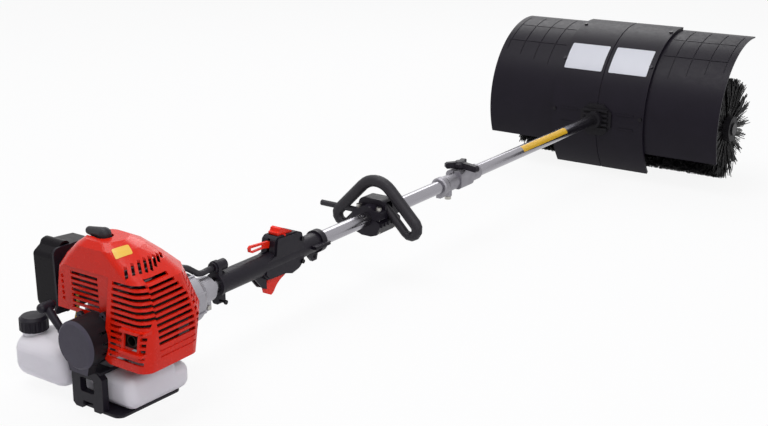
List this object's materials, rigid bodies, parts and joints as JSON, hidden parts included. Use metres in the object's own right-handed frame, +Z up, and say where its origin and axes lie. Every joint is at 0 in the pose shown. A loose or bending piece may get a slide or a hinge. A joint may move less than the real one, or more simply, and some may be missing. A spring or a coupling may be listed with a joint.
{
  "type": "power brush sweeper",
  "caption": "Petrol power brush sweeper: engine on a foot, split shaft with throttle grip and loop handle, worm gear head and hooded nylon brush drum.",
  "frame": {"origin": "on the floor at the centre of the engine stand's foot", "axes": "+X forward along the shaft to the brush, +Y to the operator's left, +Z up"},
  "size_m": [1.9605, 0.6, 0.3574],
  "materials": {
    "red_plastic": "gloss moulded ABS",
    "black_plastic": "satin moulded nylon and polypropylene",
    "rubber": "soft matt",
    "cast_aluminium": "cast, lightly blasted",
    "tube_aluminium": "drawn tube, satin",
    "steel": "turned and zinc plated",
    "bronze": "machined bronze",
    "tank_plastic": "translucent blow-moulded polyethylene",
    "fuel_hose": "soft translucent hose",
    "nylon": "crimped nylon bristle",
    "ceramic": "glazed",
    "rope": "braided cord",
    "filter_foam": "open foam"
  },
  "bodies": {
    "frame": {"engine_shroud": "red_plastic", "crankcase": "cast_aluminium", "engine_cylinder": "cast_aluminium", "spark_plug": "ceramic", "spark_plug_boot": "rubber", "fan_housing": "cast_aluminium", "ignition_coil": "black_plastic", "clutch_housing": "cast_aluminium", "recoil_housing": "black_plastic", "muffler": "steel", "carburettor": "cast_aluminium", "air_filter_base": "black_plastic", "air_filter_element": "filter_foam", "air_filter_cover": "black_plastic", "fuel_tank": "tank_plastic", "fuel_line": "fuel_hose", "engine_stand": "black_plastic", "upper_tube": "tube_aluminium", "lower_tube": "tube_aluminium", "shaft_bushings": "bronze", "coupler_body": "cast_aluminium", "grip_right_half": "black_plastic", "grip_left_half": "black_plastic", "throttle_cable": "rubber", "hanger_clamp": "black_plastic", "loop_handle": "rubber", "handle_clamp_upper": "black_plastic", "handle_clamp_lower": "black_plastic", "gear_case": "cast_aluminium", "gear_case_cover": "cast_aluminium", "axle_bushes": "bronze", "hood_bands": "black_plastic", "hood_wing_left": "black_plastic", "hood_wing_right": "black_plastic", "hood_bracket": "black_plastic", "fasteners": "steel"},
    "brush": {"worm_wheel": "bronze", "brush_axle": "steel", "brush_cores": "black_plastic", "bristles_left": "nylon", "bristles_right": "nylon"},
    "drive": {"clutch_drum": "steel", "upper_drive_shaft": "steel", "lower_drive_shaft": "steel", "worm": "steel"},
    "crank": {"crankshaft": "steel", "flywheel": "cast_aluminium", "clutch_shoes": "steel"},
    "recoil": {"recoil_reel": "black_plastic"},
    "starter": {"starter_rope": "rope", "starter_grip": "black_plastic"},
    "trigger": {"throttle_trigger": "red_plastic"},
    "lockout": {"lockout_lever": "red_plastic"},
    "switch": {"stop_switch": "red_plastic"},
    "choke": {"choke_lever": "black_plastic"},
    "primer": {"primer_bulb": "rubber"},
    "cap_seal": {"fuel_cap_gasket": "rubber"},
    "cap": {"fuel_cap": "black_plastic"},
    "knob": {"coupler_knob": "black_plastic"},
    "pin": {"coupler_pin": "steel"}
  },
  "joints": [
    {"name": "brush_spin", "type": "hinge", "parent": "frame", "child": "brush", "pos_m": [1.80211, 0, 0.125], "axis": [0, 1, 0], "continuous": true},
    {"name": "drive_spin", "type": "hinge", "parent": "frame", "child": "drive", "pos_m": [0.99965, 0, 0.13163], "axis": [0.9996, 0, 0.0266], "continuous": true},
    {"name": "crank_spin", "type": "hinge", "parent": "frame", "child": "crank", "pos_m": [0.05998, 0, 0.1066], "axis": [0.9996, 0, 0.0266], "continuous": true},
    {"name": "starter_pull", "type": "slide", "parent": "frame", "child": "starter", "axis": [-0.0188, 0.7071, 0.7069], "range_m": [0, 0.55], "stiffness_N_per_m": 12},
    {"name": "recoil_spin", "type": "hinge", "parent": "frame", "child": "recoil", "pos_m": [-0.01699, 0, 0.10455], "axis": [0.9996, 0, 0.0266], "range_deg": [0, 1575.63]},
    {"name": "throttle_pull", "type": "hinge", "parent": "frame", "child": "trigger", "pos_m": [0.42737, 0, 0.09688], "axis": [0, 1, 0], "range_deg": [0, 14], "stiffness_Nm_per_rad": 0.6},
    {"name": "lockout_press", "type": "hinge", "parent": "frame", "child": "lockout", "pos_m": [0.38814, 0, 0.14235], "axis": [0, -1, 0], "range_deg": [0, 7], "stiffness_Nm_per_rad": 0.4},
    {"name": "switch_rock", "type": "hinge", "parent": "frame", "child": "switch", "pos_m": [0.40976, 0, 0.15693], "axis": [0, -1, 0], "range_deg": [0, 12]},
    {"name": "choke_turn", "type": "hinge", "parent": "frame", "child": "choke", "pos_m": [0.03656, 0.096, 0.12198], "axis": [0, 1, 0], "range_deg": [0, 60]},
    {"name": "primer_press", "type": "slide", "parent": "frame", "child": "primer", "axis": [0.9996, 0, 0.0266], "range_m": [0, 0.004], "stiffness_N_per_m": 800},
    {"name": "cap_lift", "type": "slide", "parent": "frame", "child": "cap_seal", "axis": [0, 0, 1], "range_m": [0, 0.0045]},
    {"name": "cap_turn", "type": "hinge", "parent": "cap_seal", "child": "cap", "pos_m": [0.014, 0.138, 0.09], "axis": [0, 0, 1], "range_deg": [0, 540]},
    {"name": "knob_turn", "type": "hinge", "parent": "frame", "child": "knob", "pos_m": [0.97985, 0, 0.16112], "axis": [-0.0266, 0, 0.9996], "range_deg": [0, 180]},
    {"name": "pin_pull", "type": "slide", "parent": "frame", "child": "pin", "axis": [0.0266, 0, -0.9996], "range_m": [0, 0.006], "stiffness_N_per_m": 600}
  ],
  "couplings": [
    {"joint": "drive_spin", "follows": "brush_spin", "ratio": -20},
    {"joint": "recoil_spin", "follows": "starter_pull", "rad_per_m": 50},
    {"joint": "cap_turn", "follows": "cap_lift", "rad_per_m": 2094.4}
  ]
}
